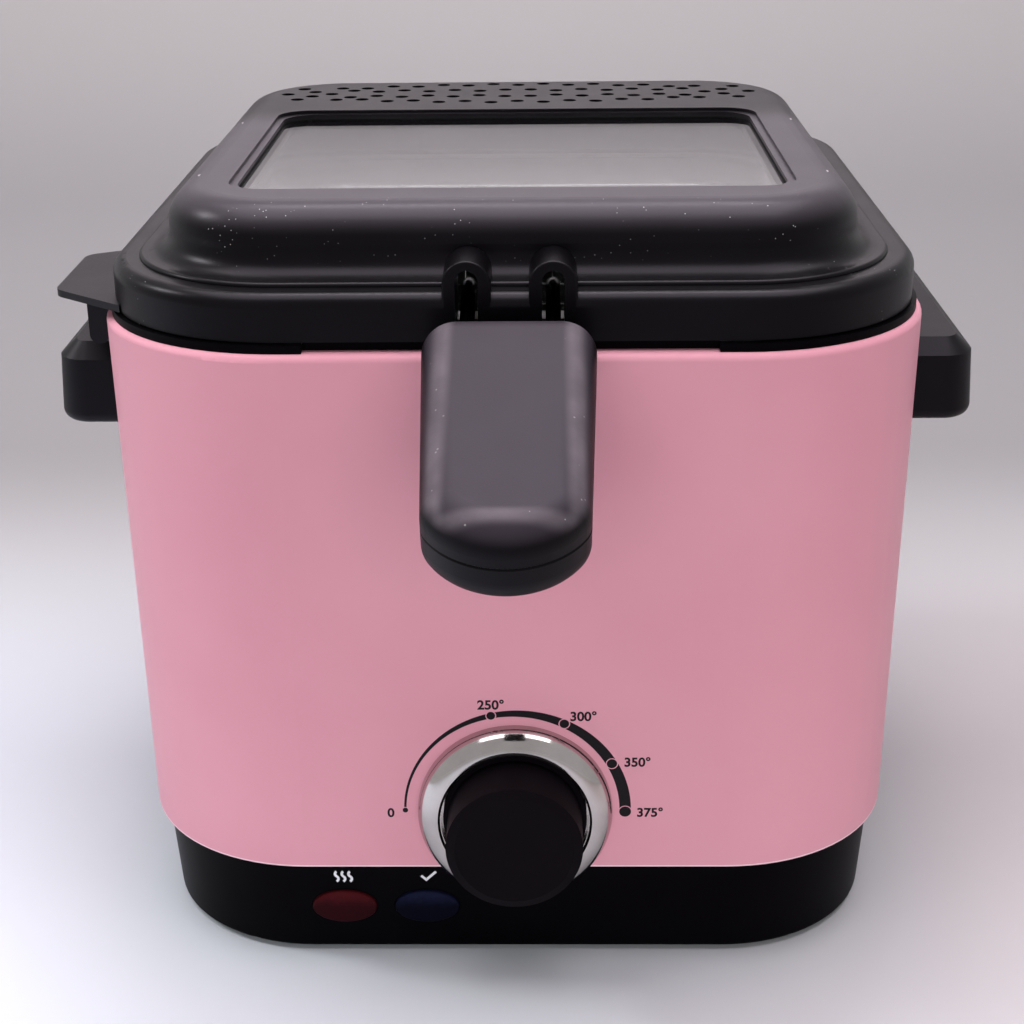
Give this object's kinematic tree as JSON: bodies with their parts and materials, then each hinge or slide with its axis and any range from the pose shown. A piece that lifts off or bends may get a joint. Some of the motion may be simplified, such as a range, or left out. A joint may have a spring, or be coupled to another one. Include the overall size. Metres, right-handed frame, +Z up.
{
  "type": "electric deep fryer",
  "caption": "Compact electric deep fryer: painted rounded housing on a black base, hinged black lid with window and vents, lift-out wire basket with grip, and a front dial.",
  "frame": {"origin": "on the table, under the middle of the whole fryer with its handle", "axes": "+Z up, front with the dial towards -Y, +X to the right seen from the front"},
  "size_m": [0.2396, 0.3036, 0.1976],
  "materials": {
    "pink_paint": "satin",
    "black_plastic": "satin moulded",
    "rubber": "matte",
    "seal": "matte",
    "bowl_coat": "dark non-stick coat",
    "plate_cast": "as cast",
    "steel": "plain",
    "element_steel": "heat darkened",
    "wire_steel": "bright drawn",
    "chrome": "polished",
    "copper_bulb": "plain",
    "pin_brass": "plated",
    "phenolic": "matte",
    "red_lens": "gloss",
    "blue_lens": "gloss",
    "lamp_white": "matte",
    "glass": "clear",
    "charcoal": "felt"
  },
  "bodies": {
    "base": {"housing_shell": "pink_paint", "base_tray": "black_plastic", "rubber_feet": "rubber", "rim_ring": "black_plastic", "hinge_pin": "steel", "bowl": "bowl_coat", "heat_plate": "plate_cast", "heating_element": "element_steel", "heat_shield": "steel", "thermal_cutout": "phenolic", "tie_rods": "steel", "tie_nuts": "steel", "thermostat_body": "phenolic", "thermostat_nut": "steel", "thermostat_bulb": "copper_bulb", "dial_bezel": "chrome", "heating_lens": "red_lens", "ready_lens": "blue_lens", "lamp_holders": "lamp_white", "power_inlet": "black_plastic", "inlet_pins": "pin_brass", "inlet_plates": "steel", "left_handle": "black_plastic", "right_handle": "black_plastic", "handle_screws": "steel"},
    "knob": {"control_knob": "black_plastic", "thermostat_shaft": "steel"},
    "lid": {"lid_cover": "black_plastic", "lid_window": "glass", "window_gasket": "seal", "window_frame": "black_plastic", "window_screws": "steel", "charcoal_filter": "charcoal", "filter_cover": "black_plastic", "lift_tab": "black_plastic", "tab_screws": "steel"},
    "basket_set": {"basket": "wire_steel", "basket_rim": "wire_steel", "basket_bracket": "wire_steel", "handle_wire": "wire_steel", "grip_upper": "black_plastic", "grip_lower": "black_plastic", "grip_screws": "steel"}
  },
  "joints": [
    {"name": "lid_hinge", "type": "hinge", "parent": "base", "child": "lid", "pos_m": [0, 0.1476, 0.176], "axis": [-1, 0, 0], "range_deg": [0, 95]},
    {"name": "dial_turn", "type": "hinge", "parent": "base", "child": "knob", "pos_m": [0, -0.0731, 0.0459], "axis": [0, 0.9999, 0.0124], "range_deg": [0, 180]},
    {"name": "basket_lift", "type": "slide", "parent": "base", "child": "basket_set", "axis": [0, 0, 1], "range_m": [0, 0.004]}
  ]
}
